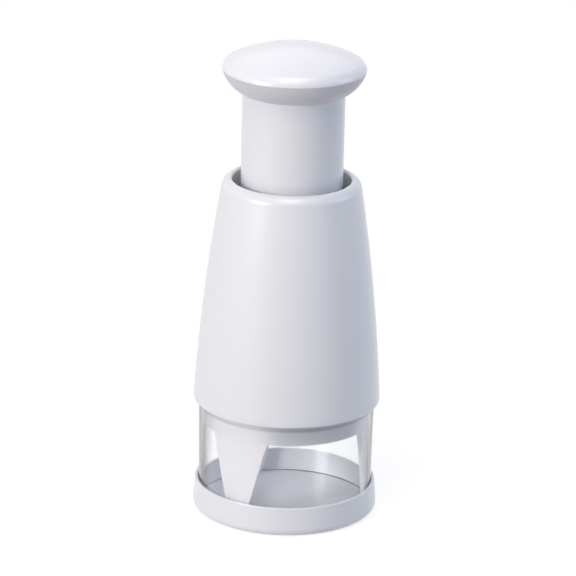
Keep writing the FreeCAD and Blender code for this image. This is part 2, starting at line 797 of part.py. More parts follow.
def knob_cap():
    """Domed cap: a shallow crown, a tight edge arc and a wall of even thickness."""
    inner = "(crown_radius - knob_wall)"
    body = turned("cap", [
        ("cap_bore", "knob_seam"),
        ("seam_x", "knob_seam", "knob_edge_radius"),
        ("crown_x", "crown_end", "crown_radius"),
        ("0", "knob_top"),
        ("0", "knob_top - knob_wall", inner, "in"),
        ("edge_x * %s / (crown_radius - knob_edge_radius)" % inner,
         "crown_z + (edge_z - crown_z) * %s / (crown_radius - knob_edge_radius)" % inner,
         "knob_edge_radius - knob_wall", "in"),
        ("cap_bore", "knob_seam + knob_snap_height")])
    return part(body, "knob_cap")


def zigzag(name, half_width, bottom, height):
    """Wall that follows the blade's zigzag, of a given half width, as a solid."""
    path = doc.getObject("zigzag_path")
    outline = doc.addObject("Part::Offset2D", name + "_outline")
    outline.Source = path
    outline.Mode = "Pipe"
    outline.Join = "Arc"
    outline.Fill = False
    bound(outline, Value=half_width)
    wall = doc.addObject("Part::Extrusion", name)
    wall.Base = outline
    wall.DirMode = "Custom"
    wall.Dir = V(0, 0, 1)
    wall.Solid = True
    bound(wall, LengthFwd=height)
    wall.setExpression("Placement.Base.z", formula(bottom))
    return wall


def along(first, second, run, chord):
    """Formulas of the point at a run from one point towards another, a chord away."""
    share = "(%s) / (%s)" % (run, chord)
    return tuple("(%s) + ((%s) - (%s)) * %s" % (a, b, a, share) for a, b in zip(first, second))


def zigzag_path():
    """Centre line of the blade: a strip folded three times, its corners on one circle."""
    path = doc.addObject("Sketcher::SketchObject", "zigzag_path")
    end = ("blade_radius * cos(blade_outer_angle)", "blade_radius * sin(blade_outer_angle)")
    low = ("blade_radius * cos(blade_inner_angle)", "-blade_radius * sin(blade_inner_angle)")
    top = ("0", "blade_radius")
    side_chord = "2 * blade_radius * sin((blade_outer_angle + blade_inner_angle) / 2)"
    long_chord = "2 * blade_radius * sin((90 + blade_inner_angle) / 2)"
    low_run = "fold_radius / tan((90 - blade_outer_angle) / 4)"
    top_run = "fold_radius / tan((90 - blade_inner_angle) / 2)"
    right = [
        along(top, low, top_run, long_chord),
        along(low, top, low_run, long_chord) + ("fold_radius",),
        along(low, end, low_run, side_chord),
        end]
    left = [("-(%s)" % corner[0],) + corner[1:2] for corner in reversed(right)]
    left[1] += ("fold_radius",)
    left[3] += ("fold_radius", "in")
    draw(path, left + right, closed=False)
    doc.recompute()
    return path


def blade_parts():
    """Zigzag blade, its holder with clamping walls, and the ratchet ring."""
    half = "blade_thickness / 2"
    body = zigzag("blade_body", half, "blade_edge + blade_bevel",
                  "holder_bottom - blade_edge - blade_bevel")
    keen = doc.addObject("Part::Loft", "blade_bevelled")
    sections = []
    for name, width, at in (("edge", "blade_edge_thickness / 2", "blade_edge"),
                            ("root", half, "blade_edge + blade_bevel")):
        line = doc.addObject("Part::Offset2D", "blade_%s_line" % name)
        line.Source = doc.getObject("zigzag_path")
        line.Mode = "Pipe"
        line.Join = "Arc"
        bound(line, Value=width)
        line.setExpression("Placement.Base.z", formula(at))
        sections.append(line)
    keen.Sections = sections
    keen.Solid = True
    keen.Ruled = True
    part(fused("blade", [body, keen]), "zigzag_blade")

    plate = turned("holder_plate", [
        ("rod_bore", "holder_bottom"),
        ("holder_radius", "holder_bottom"),
        ("holder_radius", "holder_top"),
        ("rod_bore", "holder_top")])
    outside = zigzag("clamp_outside", "%s + clamp_gap + clamp_wall" % half, "clamp_bottom",
                     "clamp_depth")
    groove = zigzag("clamp_groove", "%s + clamp_gap" % half, "clamp_bottom - cut_over",
                    "clamp_depth + cut_over")
    walls = cut("clamp_walls", outside, groove)
    trim = solid_cylinder("clamp_trim", "holder_radius", "clamp_depth",
                          ("0", "0", "clamp_bottom"))
    inside = doc.addObject("Part::Common", "clamp_inside")
    inside.Base = walls
    inside.Tool = trim
    part(fused("holder", [plate, inside]), "blade_holder")


def polar(radius, angle):
    """Formulas of the point at a radius and an angle."""
    return ("(%s) * cos(%s)" % (radius, angle), "(%s) * sin(%s)" % (radius, angle))


def ratchet_parts():
    """Ratchet ring on the holder, and the ring of spring fingers on the cam tube."""
    ring = turned("ratchet_blank", [
        ("ratchet_tip", "holder_top"),
        ("ratchet_radius", "holder_top"),
        ("ratchet_radius", "ratchet_top"),
        ("ratchet_tip", "ratchet_top")])
    ramp = "360 / ratchet_teeth * ratchet_ramp"
    sketch = body_sketch(ring, "tooth_space", "XY_Plane", [
        polar("ratchet_tip - cut_over", "0"),
        polar("ratchet_bore", "0"),
        polar("ratchet_tip", ramp),
        polar("ratchet_tip - cut_over", ramp)], offset="holder_top")
    space = ring.newObject("PartDesign::Pocket", "tooth_cut")
    space.Profile = sketch
    space.Reversed = True
    bound(space, Length="ratchet_height")
    sketch.Visibility = False
    doc.recompute()
    around(ring, space, "ratchet_teeth")
    part(ring, "ratchet_ring")

    top = "ratchet_top - fit_gap"
    hoop = turned("pawl_hoop", [
        ("cam_radius + fit_gap", "cam_bottom"),
        ("pawl_ring_radius", "cam_bottom"),
        ("pawl_ring_radius", top),
        ("cam_radius + fit_gap", top)])
    root = "cam_radius + fit_gap + pawl_ring_wall / 2"
    bend = "pawl_sweep + pawl_root_angle"
    sketch = body_sketch(hoop, "pawl_outline", "XY_Plane", [
        polar("pawl_inside", "pawl_tip_angle"),
        polar("ratchet_bore - pawl_gap", "pawl_tip_angle"),
        polar("pawl_outside", "pawl_ramp_angle") + ("pawl_outside",),
        polar("pawl_outside", bend),
        polar(root, bend),
        polar(root, "pawl_sweep"),
        polar("pawl_inside", "pawl_sweep") + ("pawl_inside", "in")], offset="cam_bottom")
    finger = hoop.newObject("PartDesign::Pad", "pawl_finger")
    finger.Profile = sketch
    bound(finger, Length="%s - cam_bottom" % top)
    sketch.Visibility = False
    doc.recompute()
    around(hoop, finger, "pawl_count")
    part(hoop, "pawl_ring")


def stripper_disc():
    """Disc inside the collar with the zigzag slot that wipes the blade."""
    body = turned("disc_blank", [
        ("0", "disc_bottom"),
        ("disc_radius", "disc_bottom"),
        ("disc_radius", "disc_top"),
        ("0", "disc_top")])
    slot = zigzag("disc_slot", "blade_thickness / 2 + slot_gap", "disc_bottom - cut_over",
                  "disc_thickness + 2 * cut_over")
    return part(cut("disc", body, slot), "stripper_disc")


def stripper_frame():
    """Collar that hangs in the cup, with a flange on the rim and three tapered legs."""
    collar = turned("collar", [
        ("frame_bore - frame_ledge", "collar_bottom"),
        ("frame_radius", "collar_bottom"),
        ("frame_radius", "cup_top"),
        ("flange_radius", "cup_top"),
        ("flange_radius", "frame_top"),
        ("frame_bore", "frame_top"),
        ("frame_bore", "ledge_top"),
        ("frame_bore - frame_ledge", "ledge_top")])
    foot = "tray_floor + leg_foot_gap"
    skirt = turned("skirt", [
        ("frame_bore", foot),
        ("frame_radius", foot),
        ("frame_radius", "collar_bottom + frame_ledge_height"),
        ("frame_bore", "collar_bottom + frame_ledge_height")])
    leg = doc.addObject("Sketcher::SketchObject", "leg_outline")
    # The taper runs from the foot's rounds to the fillets under the collar
    draw(leg, [
        ("-leg_foot_width / 2 + leg_round", foot),
        ("leg_foot_width / 2 - leg_round", foot, "leg_round"),
        ("leg_foot_width / 2", "%s + leg_round" % foot),
        ("leg_width / 2", "collar_bottom - leg_fillet", "leg_fillet", "in"),
        ("leg_width / 2 + leg_fillet", "collar_bottom"),
        ("leg_width / 2 + leg_fillet", "ledge_top"),
        ("-leg_width / 2 - leg_fillet", "ledge_top"),
        ("-leg_width / 2 - leg_fillet", "collar_bottom", "leg_fillet", "in"),
        ("-leg_width / 2", "collar_bottom - leg_fillet"),
        ("-leg_foot_width / 2", "%s + leg_round" % foot, "leg_round")])
    leg.Placement = FreeCAD.Placement(V(0, 0, 0), FreeCAD.Rotation(V(1, 0, 0), 90))
    blade = doc.addObject("Part::Extrusion", "leg")
    blade.Base = leg
    blade.DirMode = "Custom"
    blade.Dir = V(0, -1, 0)
    blade.Solid = True
    bound(blade, LengthFwd="cup_bore")
    legs = turned_copies("legs", blade, int(value("leg_count")), value("leg_azimuth"))
    wall = doc.addObject("Part::Common", "leg_walls")
    wall.Base = skirt
    wall.Tool = legs
    return part(fused("frame", [collar, wall]), "stripper_frame")


def export():
    """Check every object and write each sub-part to its own file."""
    doc.recompute()
    for item in doc.Objects:
        if "Invalid" in item.State or "Error" in item.State:
            raise RuntimeError("%s did not compute" % item.Name)
    os.makedirs("parts", exist_ok=True)
    for item in PARTS:
        shape = item.Shape
        if shape.isNull() or not shape.isValid() or not shape.Solids:
            raise RuntimeError("%s has no sound shape" % item.Label)
        shape.exportStep("parts/%s.step" % item.Label)
        print("%-20s %d solids, %.0f mm3" % (item.Label, len(shape.Solids), shape.Volume))


base_tray()
clear_cup()
housing_shell()
guide_ring()
guide_column()
cam_tube()
cam_bush()
screws()
spring_parts()
plunger()
knob_cap()
zigzag_path()
blade_parts()
ratchet_parts()
stripper_disc()
stripper_frame()
export()
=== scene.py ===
"""Looks of the plunger food chopper: finishes, coil spring, studio and camera."""

import logging
import math
from dataclasses import dataclass, field
from enum import Enum
from typing import Optional

import bpy
from mathutils import Euler, Matrix, Vector

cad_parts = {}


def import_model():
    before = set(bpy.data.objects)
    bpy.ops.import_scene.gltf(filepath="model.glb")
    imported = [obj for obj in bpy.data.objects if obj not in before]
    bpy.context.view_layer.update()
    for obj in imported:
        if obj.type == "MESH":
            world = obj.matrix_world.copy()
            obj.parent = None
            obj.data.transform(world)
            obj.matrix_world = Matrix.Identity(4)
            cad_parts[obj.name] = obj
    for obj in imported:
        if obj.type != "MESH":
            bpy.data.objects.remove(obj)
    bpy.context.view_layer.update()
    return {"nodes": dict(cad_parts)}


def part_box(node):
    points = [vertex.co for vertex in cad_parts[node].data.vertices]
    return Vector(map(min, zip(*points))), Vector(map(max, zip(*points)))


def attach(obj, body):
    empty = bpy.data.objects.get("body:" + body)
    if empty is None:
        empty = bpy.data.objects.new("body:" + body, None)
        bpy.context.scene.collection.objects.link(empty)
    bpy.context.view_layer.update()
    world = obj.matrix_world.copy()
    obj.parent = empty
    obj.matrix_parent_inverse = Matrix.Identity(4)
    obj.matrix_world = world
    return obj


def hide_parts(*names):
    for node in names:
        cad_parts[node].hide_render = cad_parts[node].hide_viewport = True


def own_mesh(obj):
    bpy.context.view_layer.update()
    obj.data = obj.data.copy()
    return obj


log = logging.getLogger("chopper")

FRAME_PIXELS = 576
SENSOR_WIDTH = 36.0
MM = 0.001
OBJECT_SPACE = "Object"

Colour = tuple[float, float, float]
Steps = tuple[int, int, int]


class Grain(Enum):
    """Kinds of fine surface that a finish can carry."""

    MOULDED = "moulded_skin"
    BRUSHED = "brushed_skin"


def linear(colour: Steps) -> Colour:
    """Turn a colour of 0 to 255 steps into linear values.

    Args:
        colour: Red, green and blue as they show on a screen.

    Returns:
        The same colour as linear red, green and blue.
    """
    steps = [step / 255 for step in colour]
    return tuple(s / 12.92 if s <= 0.04045 else ((s + 0.055) / 1.055) ** 2.4 for s in steps)


class NodeSketch:
    """Small helper that adds and joins the nodes of one shader tree."""

    def __init__(self, tree: bpy.types.NodeTree) -> None:
        """Keep the tree that nodes are added to."""
        self.tree = tree

    def add(self, kind: str, **settings: object) -> bpy.types.Node:
        """Add a node.

        Args:
            kind: Blender's name of the node type.
            settings: Values for the node's own properties.

        Returns:
            The new node.
        """
        node = self.tree.nodes.new(kind)
        for name, setting in settings.items():
            setattr(node, name, setting)
        return node

    def join(self, source: bpy.types.NodeSocket, target: bpy.types.NodeSocket) -> None:
        """Link one socket to another."""
        self.tree.links.new(source, target)

    def math(self, operation: str, first: object, second: object) -> bpy.types.NodeSocket:
        """Add a math node.

        Args:
            operation: Name of the operation, such as MULTIPLY.
            first: A socket or a number.
            second: A socket or a number.

        Returns:
            The node's output socket.
        """
        node = self.add("ShaderNodeMath", operation=operation)
        for socket, given in zip(node.inputs, (first, second)):
            if isinstance(given, bpy.types.NodeSocket):
                self.join(given, socket)
            else:
                socket.default_value = given
        return node.outputs[0]

    def axes(self, place: bpy.types.NodeSocket) -> bpy.types.bpy_prop_collection:
        """Split a place into its X, Y and Z.

        Args:
            place: Coordinates to split.

        Returns:
            The node's outputs, by axis.
        """
        node = self.add("ShaderNodeSeparateXYZ")
        self.join(place, node.inputs["Vector"])
        return node.outputs

    def step(self, source: bpy.types.NodeSocket, start: float,
             end: float) -> bpy.types.NodeSocket:
        """Add a smooth mask.

        Args:
            source: The value that the mask follows.
            start: Value at which the mask is 0.
            end: Value at which the mask is 1.

        Returns:
            The mask's socket.
        """
        mask = self.add("ShaderNodeMapRange", interpolation_type="SMOOTHSTEP")
        mask.inputs["From Min"].default_value = start
        mask.inputs["From Max"].default_value = end
        self.join(source, mask.inputs["Value"])
        return mask.outputs["Result"]

    def tint(self, mask: bpy.types.NodeSocket, plain: bpy.types.NodeSocket,
             colour: Steps) -> bpy.types.NodeSocket:
        """Mix a colour over another.

        Args:
            mask: Where the colour shows.
            plain: The colour under it.
            colour: The colour on top, in steps of 0 to 255.

        Returns:
            The mixed colour's socket.
        """
        mix = self.add("ShaderNodeMix", data_type="RGBA")
        self.join(mask, mix.inputs["Factor"])
        self.join(plain, mix.inputs["A"])
        mix.inputs["B"].default_value = (*linear(colour), 1.0)
        return mix.outputs["Result"]


def new_group(name: str, peel: float, cloud: float, scuff: float) -> bpy.types.NodeTree:
    """Make an empty shader node group with the sockets of a surface effect.

    Args:
        name: Name of the group.
        peel: Usual scale of the finest pattern.
        cloud: Usual scale of the clouds.
        scuff: Usual scale of the scuffs.

    Returns:
        The node group.
    """
    group = bpy.data.node_groups.new(name, "ShaderNodeTree")
    group.interface.new_socket("Vector", in_out="INPUT", socket_type="NodeSocketVector")
    for title, usual in (("Peel Scale", peel), ("Cloud Scale", cloud), ("Scuff Scale", scuff)):
        socket = group.interface.new_socket(title, in_out="INPUT", socket_type="NodeSocketFloat")
        socket.default_value = usual
    for title in ("Height", "Cloud", "Scuff"):
        group.interface.new_socket(title, in_out="OUTPUT", socket_type="NodeSocketFloat")
    return group


class SkinLibrary:
    """The shared surface effects, each built once as a shader node group."""

    scuff_stretch = (1.0, 1.0, 0.18)
    scuff_turn = (0.5, 0.3, 0.0)
    scuff_from = 0.62
    scuff_full = 0.78
    line_squeeze = (0.06, 0.06, 1.0)

    def __init__(self) -> None:
        """Build every group."""
        self.groups = {
            Grain.MOULDED: self.moulded(),
            Grain.BRUSHED: self.brushed(),
        }

    def moulded(self) -> bpy.types.NodeTree:
        """Fine orange peel, faint flow clouds and rare scuffs of injection-moulded plastic.

        Returns:
            A group with the outputs Height, Cloud and Scuff.
        """
        group = new_group(Grain.MOULDED.value, 900.0, 28.0, 160.0)
        sketch = NodeSketch(group)
        given = sketch.add("NodeGroupInput")
        result = sketch.add("NodeGroupOutput")
        peel = sketch.add("ShaderNodeTexNoise")
        peel.inputs["Detail"].default_value = 2.0
        cloud = sketch.add("ShaderNodeTexNoise")
        cloud.inputs["Detail"].default_value = 3.0
        stretch = sketch.add("ShaderNodeMapping")
        stretch.inputs["Scale"].default_value = self.scuff_stretch
        stretch.inputs["Rotation"].default_value = self.scuff_turn
        scuff = sketch.add("ShaderNodeTexNoise")
        scuff.inputs["Detail"].default_value = 4.0
        rare = sketch.add("ShaderNodeMapRange")
        rare.inputs["From Min"].default_value = self.scuff_from
        rare.inputs["From Max"].default_value = self.scuff_full
        for node, scale in ((peel, "Peel Scale"), (cloud, "Cloud Scale"),
                            (scuff, "Scuff Scale")):
            sketch.join(given.outputs[scale], node.inputs["Scale"])
        sketch.join(given.outputs["Vector"], peel.inputs["Vector"])
        sketch.join(given.outputs["Vector"], cloud.inputs["Vector"])
        sketch.join(given.outputs["Vector"], stretch.inputs["Vector"])
        sketch.join(stretch.outputs["Vector"], scuff.inputs["Vector"])
        sketch.join(scuff.outputs["Fac"], rare.inputs["Value"])
        sketch.join(peel.outputs["Fac"], result.inputs["Height"])
        sketch.join(cloud.outputs["Fac"], result.inputs["Cloud"])
        sketch.join(rare.outputs["Result"], result.inputs["Scuff"])
        return group

    def brushed(self) -> bpy.types.NodeTree:
        """Long fine grinding lines of rolled and ground steel.

        Returns:
            A group with the outputs Height, Cloud and Scuff.
        """
        group = new_group(Grain.BRUSHED.value, 1400.0, 60.0, 300.0)
        sketch = NodeSketch(group)
        given = sketch.add("NodeGroupInput")
        result = sketch.add("NodeGroupOutput")
        squeeze = sketch.add("ShaderNodeMapping")
        squeeze.inputs["Scale"].default_value = self.line_squeeze
        sketch.join(given.outputs["Vector"], squeeze.inputs["Vector"])
        for title, scale, source, detail in (
                ("Height", "Peel Scale", squeeze.outputs["Vector"], 3.0),
                ("Cloud", "Cloud Scale", given.outputs["Vector"], 2.0),
                ("Scuff", "Scuff Scale", squeeze.outputs["Vector"], 4.0)):
            noise = sketch.add("ShaderNodeTexNoise")
            noise.inputs["Detail"].default_value = detail
            sketch.join(given.outputs[scale], noise.inputs["Scale"])
            sketch.join(source, noise.inputs["Vector"])
            sketch.join(noise.outputs["Fac"], result.inputs[title])
        return group


@dataclass(frozen=True)
class Finish:
    """One finish of the chopper, as a procedural material."""

    name: str
    colour: Steps
    shade: Steps
    roughness: float
    roughness_spread: float = 0.05
    grain: Grain = Grain.MOULDED
    grain_depth: float = 0.000012
    peel_scale: float = 900.0
    cloud_scale: float = 28.0
    cloud_share: float = 0.35
    scuff_share: float = 0.25
    metallic: float = 0.0
    coat: float = 0.0
    coat_roughness: float = 0.20
    transmission: float = 0.0
    ior: float = 1.5
    edge_tint: Optional[Steps] = None
    edge_start: float = 0.50
    edge_end: float = 0.86

    def build(self, skins: SkinLibrary) -> bpy.types.Material:
        """Make the material.

        Args:
            skins: The shared surface effects.

        Returns:
            The finished material.
        """
        material = bpy.data.materials.new(self.name)
        material.use_nodes = True
        sketch = NodeSketch(material.node_tree)
        shader = material.node_tree.nodes["Principled BSDF"]
        place = sketch.add("ShaderNodeTexCoord")
        skin = sketch.add("ShaderNodeGroup")
        skin.node_tree = skins.groups[self.grain]
        skin.inputs["Peel Scale"].default_value = self.peel_scale
        skin.inputs["Cloud Scale"].default_value = self.cloud_scale
        sketch.join(place.outputs[OBJECT_SPACE], skin.inputs["Vector"])
        tint = sketch.add("ShaderNodeMix", data_type="RGBA")
        tint.inputs["A"].default_value = (*linear(self.colour), 1.0)
        tint.inputs["B"].default_value = (*linear(self.shade), 1.0)
        amount = sketch.math("MULTIPLY", skin.outputs["Cloud"], self.cloud_share)
        sketch.join(amount, tint.inputs["Factor"])
        shown = self.local_colour(sketch, place.outputs[OBJECT_SPACE],
                                  tint.outputs["Result"])
        sketch.join(self.tinted_edge(sketch, shown), shader.inputs["Base Color"])
        rough = sketch.math("MULTIPLY", skin.outputs["Scuff"], self.scuff_share)
        spread = sketch.math("MULTIPLY", skin.outputs["Cloud"], self.roughness_spread)
        base = sketch.math("ADD", spread, self.roughness)
        sketch.join(sketch.math("ADD", base, rough), shader.inputs["Roughness"])
        bump = sketch.add("ShaderNodeBump")
        bump.inputs["Distance"].default_value = self.grain_depth
        bump.inputs["Strength"].default_value = 1.0
        sketch.join(skin.outputs["Height"], bump.inputs["Height"])
        sketch.join(bump.outputs["Normal"], shader.inputs["Normal"])
        shader.inputs["Metallic"].default_value = self.metallic
        shader.inputs["IOR"].default_value = self.ior
        shader.inputs["Coat Weight"].default_value = self.coat
        shader.inputs["Coat Roughness"].default_value = self.coat_roughness
        shader.inputs["Transmission Weight"].default_value = self.transmission
        if self.transmission:
            self.let_light_through(sketch, shader)
        return material

    def local_colour(self, sketch: NodeSketch, place: bpy.types.NodeSocket,
                     plain: bpy.types.NodeSocket) -> bpy.types.NodeSocket:
        """Give the colour over the piece, which for a plain finish is the same all over."""
        return plain

    def tinted_edge(self, sketch: NodeSketch,
                    plain: bpy.types.NodeSocket) -> bpy.types.NodeSocket:
        """Darken a clear piece where the eye looks along its wall.

        Args:
            sketch: Tree of the material.
            plain: The colour away from the edge.

        Returns:
            The colour with the edge's tint, or the plain one for a solid finish.
        """
        if self.edge_tint is None:
            return plain
        turned = sketch.add("ShaderNodeLayerWeight")
        turned.inputs["Blend"].default_value = 0.5
        reach = sketch.step(turned.outputs["Facing"], self.edge_start, self.edge_end)
        return sketch.tint(reach, plain, self.edge_tint)

    def let_light_through(self, sketch: NodeSketch, shader: bpy.types.Node) -> None:
        """Let lamps shine through a clear piece, so that it casts no shadow.

        Args:
            sketch: Tree of the clear material.
            shader: The surface shader that other rays meet.
        """
        path = sketch.add("ShaderNodeLightPath")
        open_air = sketch.add("ShaderNodeBsdfTransparent")
        mix = sketch.add("ShaderNodeMixShader")
        out = next(n for n in sketch.tree.nodes if n.type == "OUTPUT_MATERIAL")
        unseen = sketch.math("MAXIMUM", path.outputs["Is Shadow Ray"],
                             path.outputs["Is Diffuse Ray"])
        sketch.join(unseen, mix.inputs["Fac"])
        sketch.join(shader.outputs[0], mix.inputs[1])
        sketch.join(open_air.outputs[0], mix.inputs[2])
        sketch.join(mix.outputs[0], out.inputs["Surface"])


@dataclass(frozen=True)
class FrameFinish(Finish):
    """White of the stripper frame, with painted shade on the collar between the legs, which
    stands in for the housing's shadow.
    """

    legs: int = 3
    first_leg: float = -35.0
    collar_foot: float = 44.2 * MM
    collar_full: float = 46.2 * MM
    leg_wave: float = 0.80
    gap_wave: float = -0.35
    # Painted shade: colour of the collar between the legs, standing in for the housing's shadow.
    collar_painted_shade: Steps = (201, 205, 210)

    def local_colour(self, sketch: NodeSketch, place: bpy.types.NodeSocket,
                     plain: bpy.types.NodeSocket) -> bpy.types.NodeSocket:
        """Paint shade on the collar between the legs, where the housing's shadow falls.

        Args:
            sketch: Tree of the material.
            place: Object coordinates.
            plain: Colour of the legs and the rest of the frame, without the painted shade.

        Returns:
            The colour with the painted shade on the collar in it.
        """
        axes = sketch.axes(place)
        toward = sketch.math("MULTIPLY", axes["Y"], -1.0)
        bearing = sketch.math("ARCTAN2", axes["X"], toward)
        from_leg = sketch.math("SUBTRACT", bearing, math.radians(self.first_leg))
        wave = sketch.math("COSINE", sketch.math("MULTIPLY", from_leg, self.legs), 0.0)
        # Painted shade: the mask is 1 on the collar between the legs and 0 on the legs.
        between = sketch.step(wave, self.leg_wave, self.gap_wave)
        collar = sketch.step(axes["Z"], self.collar_foot, self.collar_full)
        return sketch.tint(sketch.math("MULTIPLY", between, collar), plain, self.collar_painted_shade)


@dataclass(frozen=True)
class TrayFinish(Finish):
    """White of the tray, with painted light making it paler where the cup stands in it."""

    inside_radius: float = 42.4 * MM
    inside_full: float = 41.6 * MM
    # Painted light: the paler colour of the tray's floor and inner wall.
    painted_light: Steps = (252, 253, 255)

    def local_colour(self, sketch: NodeSketch, place: bpy.types.NodeSocket,
                     plain: bpy.types.NodeSocket) -> bpy.types.NodeSocket:
        """Paint light within the tray's wall: a paler colour stands in for more light there.

        Args:
            sketch: Tree of the material.
            place: Object coordinates.
            plain: Colour of the tray's outside.

        Returns:
            The colour with the painted light in it.
        """
        flat = sketch.add("ShaderNodeVectorMath", operation="MULTIPLY")
        flat.inputs[1].default_value = (1.0, 1.0, 0.0)
        span = sketch.add("ShaderNodeVectorMath", operation="LENGTH")
        sketch.join(place, flat.inputs[0])
        sketch.join(flat.outputs["Vector"], span.inputs[0])
        # Painted light: mask of the tray's floor and inner wall, which get the paler colour.
        painted_light_mask = sketch.step(span.outputs["Value"], self.inside_radius, self.inside_full)
        return sketch.tint(painted_light_mask, plain, self.painted_light)


@dataclass(frozen=True)
class BladeFinish(Finish):
    """Rolled strip steel with a bright ground edge."""

    edge_foot: float = 45.8 * MM
    bevel_height: float = 2.4 * MM
    bevel_soft: float = 0.2 * MM
    ground: Steps = (226, 228, 231)

    def local_colour(self, sketch: NodeSketch, place: bpy.types.NodeSocket,
                     plain: bpy.types.NodeSocket) -> bpy.types.NodeSocket:
        """Brighten the ground bevel along the cutting edge.

        Args:
            sketch: Tree of the material.
            place: Object coordinates.
            plain: Colour of the rolled strip.

        Returns:
            The colour with the ground edge in it.
        """
        axes = sketch.axes(place)
        top = self.edge_foot + self.bevel_height
        bevel = sketch.step(axes["Z"], top + self.bevel_soft, top - self.bevel_soft)
        return sketch.tint(bevel, plain, self.ground)


@dataclass(frozen=True)
class CupFinish(Finish):
    """Clear plastic with painted shadow: a grey ring where the wall steps in under the housing's
    edge.
    """

    shadow_foot: float = 52.1 * MM
    shadow_top: float = 54.2 * MM
    shadow_soft: float = 0.9 * MM
    # Painted shadow: colour of the grey ring under the housing's edge.
    ring: Steps = (211, 213, 218)

    def local_colour(self, sketch: NodeSketch, place: bpy.types.NodeSocket,
                     plain: bpy.types.NodeSocket) -> bpy.types.NodeSocket:
        """Paint the housing's shadow as a grey ring on the wall under its edge.

        Args:
            sketch: Tree of the material.
            place: Object coordinates.
            plain: Colour of the clear wall.

        Returns:
            The colour with the painted shadow ring in it.
        """
        axes = sketch.axes(place)
        # Painted shadow: a band of the wall just below the housing's edge.
        above = sketch.step(axes["Z"], self.shadow_foot, self.shadow_foot + self.shadow_soft)
        below = sketch.step(axes["Z"], self.shadow_top, self.shadow_top - self.shadow_soft)
        return sketch.tint(sketch.math("MULTIPLY", above, below), plain, self.ring)


WHITE = Finish("white_moulded", (235, 237, 240), (228, 230, 234), 0.30, grain_depth=0.000006,
               scuff_share=0.08, coat=0.5)
FRAME_WHITE = FrameFinish("frame_moulded", (242, 242, 244), (236, 236, 239), 0.40,
                          scuff_share=0.10)
INNER_WHITE = Finish("disc_moulded", (232, 232, 235), (225, 225, 229), 0.42)
# Painted shade: the knob base is the cap's white plastic, painted darker as the shade under the
# cap.
KNOB_PAINTED_SHADE = Finish("knob_base_painted_shade", (214, 214, 219), (206, 207, 213), 0.36,
                    scuff_share=0.10)
GREY = Finish("grey_moulded", (176, 178, 184), (168, 170, 176), 0.42, scuff_share=0.10)
DARK_GREY = Finish("inner_moulded", (120, 122, 126), (108, 110, 114), 0.48)
CLEAR = CupFinish("clear_moulded", (255, 255, 255), (250, 253, 255), 0.03,
                  roughness_spread=0.01, grain_depth=0.0000015, peel_scale=300.0,
                  scuff_share=0.03, transmission=1.0, ior=1.49, edge_tint=(48, 52, 58),
                  edge_start=0.48, edge_end=0.84)
STEEL = Finish("ground_steel", (196, 198, 202), (180, 182, 188), 0.24, grain=Grain.BRUSHED,
               grain_depth=0.000004, cloud_share=0.5, metallic=1.0, scuff_share=0.10)
BLADE_STEEL = BladeFinish("blade_steel", (190, 192, 197), (168, 171, 177), 0.20,
                          grain=Grain.BRUSHED, grain_depth=0.000006, cloud_share=0.6,
                          metallic=1.0, scuff_share=0.14)
TRAY_WHITE = TrayFinish("tray_moulded", (235, 237, 240), (228, 230, 234), 0.30,
                        grain_depth=0.000006, scuff_share=0.08, coat=0.5)
RUBBER = Finish("soft_rubber", (34, 34, 36), (26, 26, 28), 0.72, grain_depth=0.00002,
                scuff_share=0.1)

NODE_FINISHES = {
    "base_tray": TRAY_WHITE,
    "clear_cup": CLEAR,
    "housing_shell": WHITE,
    "plunger_guide_ring": DARK_GREY,
    "guide_column": GREY,
    "cam_bush": GREY,
    "lower_spring_seat": STEEL,
    "stop_bumper": RUBBER,
    "stripper_frame": FRAME_WHITE,
    "stripper_disc": INNER_WHITE,
    "plunger_tube": WHITE,
    "knob_cap": WHITE,
    "knob_base": KNOB_PAINTED_SHADE,
    "push_rod": STEEL,
    "rod_top_screw": STEEL,
    "rod_end_screw": STEEL,
    "rod_end_washer": STEEL,
    "upper_spring_seat": STEEL,
    "cam_tube": GREY,
    "pawl_ring": GREY,
    "blade_holder": GREY,
    "zigzag_blade": BLADE_STEEL,
    "ratchet_ring": GREY,
}


class Workshop:
    """Holds the finishes and gives each piece its material."""

    def __init__(self) -> None:
        """Build the shared effects; materials are made when first asked for."""
        self.skins = SkinLibrary()
        self.made: dict[str, bpy.types.Material] = {}

    def material(self, finish: Finish) -> bpy.types.Material:
        """Give the material of a finish, made once.

        Args:
            finish: The finish to use.

        Returns:
            Its material.
        """
        if finish.name not in self.made:
            self.made[finish.name] = finish.build(self.skins)
        return self.made[finish.name]

    def dress(self, piece: bpy.types.Object, finish: Finish) -> None:
        """Put a finish on every slot of a piece."""
        if not piece.material_slots:
            piece.data.materials.append(self.material(finish))
        for slot in piece.material_slots:
            slot.material = self.material(finish)


